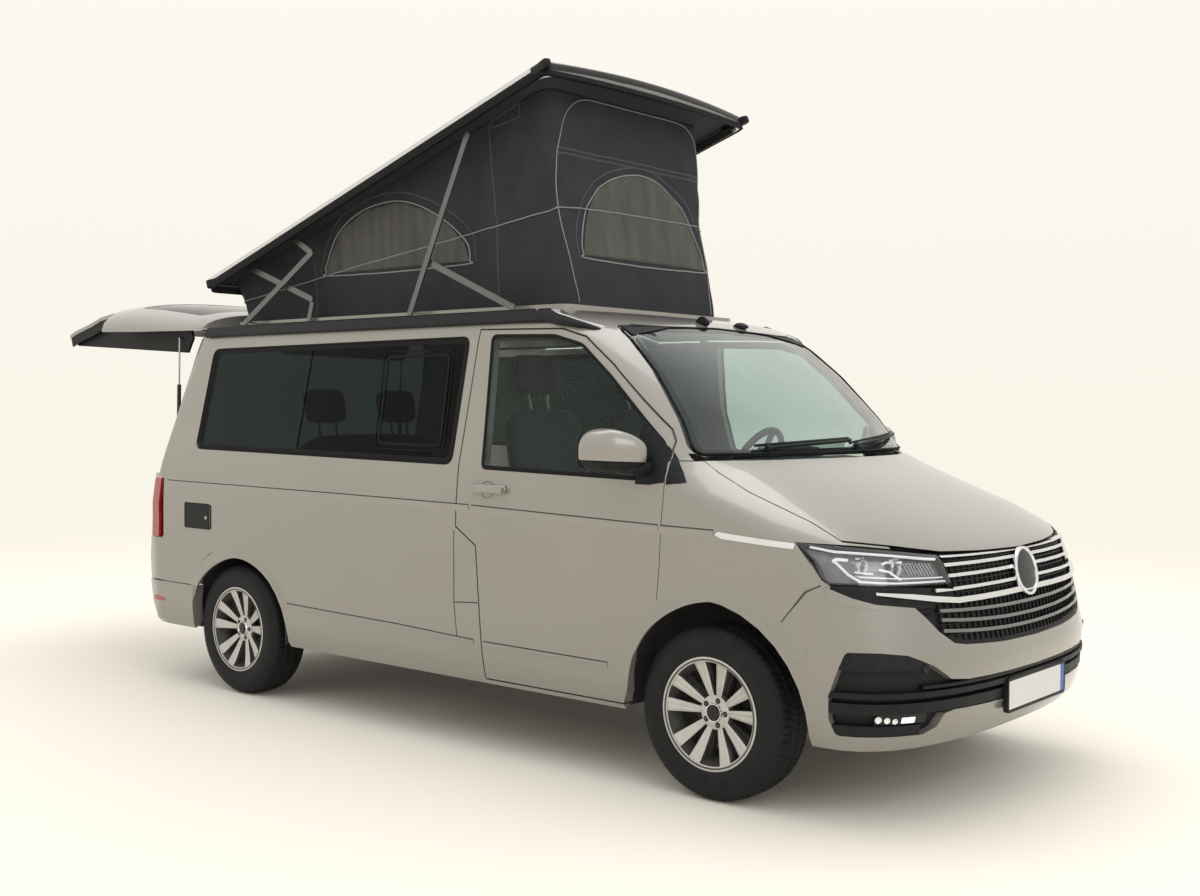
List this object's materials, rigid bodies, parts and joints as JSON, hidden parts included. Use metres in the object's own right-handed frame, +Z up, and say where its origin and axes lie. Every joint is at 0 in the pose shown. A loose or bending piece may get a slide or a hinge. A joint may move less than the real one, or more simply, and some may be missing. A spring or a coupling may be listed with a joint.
{
  "type": "camper van",
  "caption": "Camper van with a lifting roof and canvas tent, opening doors, bonnet and tailgate, steered front wheels and four rolling wheels.",
  "frame": {"origin": "on the ground under the middle of the box of the van with its roof up and its tailgate open", "axes": "+Z up, the nose faces -Y, the driver side is +X"},
  "size_m": [2.296, 5.8046, 3.0164],
  "materials": {
    "paint": "metallic gloss",
    "lid_white": "gloss",
    "black_trim": "fine grain",
    "chrome": "polished",
    "lamp_glass": "clear",
    "lamp_red": "gloss",
    "clear_glass": "light green tint",
    "dark_glass": "privacy tint",
    "seat_cloth": "woven",
    "cabinet": "satin",
    "underbody": "matt coating",
    "iron": "rough",
    "steel": "satin",
    "canvas": "woven",
    "alloy_bar": "anodised",
    "black_steel": "satin",
    "tyre": "moulded",
    "wheel_alloy": "machined and lacquered"
  },
  "bodies": {
    "body": {"floor_pan": "underbody", "side_right": "paint", "side_left": "paint", "sliding_door": "paint", "front_wings": "paint", "roof_frame": "paint", "front_bumper": "paint", "bumper_inserts": "black_trim", "grille": "black_trim", "grille_bars": "chrome", "headlamps": "lamp_glass", "windscreen": "clear_glass", "side_glass": "dark_glass", "rear_bumper": "paint", "tail_lamps": "lamp_red", "awning_rails": "black_trim", "dashboard": "black_trim", "front_seats": "seat_cloth", "rear_bench": "seat_cloth", "kitchen_unit": "cabinet", "engine": "iron", "fuel_tank": "underbody", "exhaust": "steel", "front_axle": "iron", "rear_axle": "iron", "tent": "canvas"},
    "door_right": {"door_right": "paint", "door_glass_right": "clear_glass", "mirror_right": "black_trim"},
    "door_left": {"door_left": "paint", "door_glass_left": "clear_glass", "mirror_left": "black_trim"},
    "bonnet": {"bonnet": "paint"},
    "tailgate": {"tailgate": "paint", "tailgate_glass": "dark_glass", "tailgate_trim": "black_trim"},
    "service_hatch": {"service_hatch": "black_trim"},
    "gas_tubes": {"gas_tubes": "black_steel"},
    "gas_rods": {"gas_rods": "steel"},
    "roof_lid": {"roof_lid": "lid_white"},
    "roof_struts": {"roof_struts": "alloy_bar"},
    "roof_braces": {"roof_braces": "alloy_bar"},
    "rear_links": {"rear_links": "alloy_bar"},
    "rear_scissors": {"rear_scissors": "alloy_bar"},
    "link_arms": {"link_arms": "alloy_bar"},
    "scissor_arms": {"scissor_arms": "alloy_bar"},
    "steering_wheel": {"steering_wheel": "black_trim"},
    "knuckle_right": {"knuckle_right": "iron"},
    "knuckle_left": {"knuckle_left": "iron"},
    "wheel_front_right": {"tyre_front_right": "tyre", "rim_front_right": "wheel_alloy"},
    "wheel_front_left": {"tyre_front_left": "tyre", "rim_front_left": "wheel_alloy"},
    "wheel_rear_right": {"tyre_rear_right": "tyre", "rim_rear_right": "wheel_alloy"},
    "wheel_rear_left": {"tyre_rear_left": "tyre", "rim_rear_left": "wheel_alloy"}
  },
  "joints": [
    {"name": "steer_right", "type": "hinge", "parent": "body", "child": "knuckle_right", "pos_m": [-0.644, -1.99415, 0.337], "axis": [0, 0, 1], "range_deg": [-35, 35]},
    {"name": "steer_left", "type": "hinge", "parent": "body", "child": "knuckle_left", "pos_m": [0.644, -1.99415, 0.337], "axis": [0, 0, 1], "range_deg": [-35, 35]},
    {"name": "steering_wheel", "type": "hinge", "parent": "body", "child": "steering_wheel", "pos_m": [0.37984, -1.33415, 1.225], "axis": [0, 0.8829, 0.4695], "range_deg": [-500, 500]},
    {"name": "wheel_front_right", "type": "hinge", "parent": "knuckle_right", "child": "wheel_front_right", "pos_m": [-0.814, -1.99415, 0.337], "axis": [1, 0, 0], "continuous": true},
    {"name": "wheel_front_left", "type": "hinge", "parent": "knuckle_left", "child": "wheel_front_left", "pos_m": [0.814, -1.99415, 0.337], "axis": [1, 0, 0], "continuous": true},
    {"name": "wheel_rear_right", "type": "hinge", "parent": "body", "child": "wheel_rear_right", "pos_m": [-0.814, 1.00585, 0.337], "axis": [1, 0, 0], "continuous": true},
    {"name": "wheel_rear_left", "type": "hinge", "parent": "body", "child": "wheel_rear_left", "pos_m": [0.814, 1.00585, 0.337], "axis": [1, 0, 0], "continuous": true},
    {"name": "door_right", "type": "hinge", "parent": "body", "child": "door_right", "pos_m": [-0.954, -1.79415, 0.9], "axis": [0, 0, 1], "range_deg": [0, 68]},
    {"name": "door_left", "type": "hinge", "parent": "body", "child": "door_left", "pos_m": [0.954, -1.79415, 0.9], "axis": [0, 0, -1], "range_deg": [0, 68]},
    {"name": "service_hatch", "type": "hinge", "parent": "body", "child": "service_hatch", "pos_m": [-0.955, 1.20485, 0.912], "axis": [0, 0, 1], "range_deg": [0, 100]},
    {"name": "bonnet", "type": "hinge", "parent": "body", "child": "bonnet", "pos_m": [0, -1.85415, 1.3], "axis": [-1, 0, 0], "range_deg": [0, 50]},
    {"name": "tailgate", "type": "hinge", "parent": "body", "child": "tailgate", "pos_m": [0, 1.43585, 1.924], "axis": [1, 0, 0], "range_deg": [-71, 0]},
    {"name": "gas_tubes", "type": "hinge", "parent": "body", "child": "gas_tubes", "pos_m": [0, 1.69985, 1.11], "axis": [1, 0, 0], "range_deg": [0, 21.45]},
    {"name": "gas_rods", "type": "slide", "parent": "gas_tubes", "child": "gas_rods", "axis": [0, -0.0237, 0.9997], "range_m": [-0.14726, 0]},
    {"name": "roof_lid", "type": "hinge", "parent": "body", "child": "roof_lid", "pos_m": [0, 2.07185, 1.635], "axis": [1, 0, 0], "range_deg": [0, 18], "deforming": ["tent"]},
    {"name": "roof_struts", "type": "hinge", "parent": "body", "child": "roof_struts", "pos_m": [0, -0.08915, 1.942], "axis": [1, 0, 0], "range_deg": [0, 64.24]},
    {"name": "roof_braces", "type": "hinge", "parent": "body", "child": "roof_braces", "pos_m": [0, -0.75015, 1.942], "axis": [1, 0, 0], "range_deg": [-23.24, 0]},
    {"name": "rear_links", "type": "hinge", "parent": "body", "child": "rear_links", "pos_m": [0, 1.21385, 1.942], "axis": [1, 0, 0], "range_deg": [0, 30.73]},
    {"name": "link_arms", "type": "hinge", "parent": "roof_lid", "child": "link_arms", "pos_m": [0, 0.82192, 2.36392], "axis": [1, 0, 0], "range_deg": [-47.41, 0]},
    {"name": "rear_scissors", "type": "hinge", "parent": "roof_lid", "child": "rear_scissors", "pos_m": [0, 1.21471, 2.2363], "axis": [1, 0, 0], "range_deg": [-38, 0]},
    {"name": "scissor_arms", "type": "hinge", "parent": "body", "child": "scissor_arms", "pos_m": [0, 0.72385, 1.942], "axis": [1, 0, 0], "range_deg": [0, 72.9]}
  ],
  "couplings": [
    {"joint": "steer_left", "follows": "steer_right", "ratio": 1},
    {"joint": "steering_wheel", "follows": "steer_right", "ratio": 14},
    {"joint": "gas_tubes", "follows": "tailgate", "ratio": -0.30211},
    {"joint": "gas_rods", "follows": "tailgate", "m_per_rad": 0.11883},
    {"joint": "roof_struts", "follows": "roof_lid", "ratio": 3.5688},
    {"joint": "roof_braces", "follows": "roof_lid", "ratio": -1.2909},
    {"joint": "rear_links", "follows": "roof_lid", "ratio": 1.7075},
    {"joint": "link_arms", "follows": "roof_lid", "ratio": -2.6339},
    {"joint": "rear_scissors", "follows": "roof_lid", "ratio": -2.1111},
    {"joint": "scissor_arms", "follows": "roof_lid", "ratio": 4.0498}
  ]
}
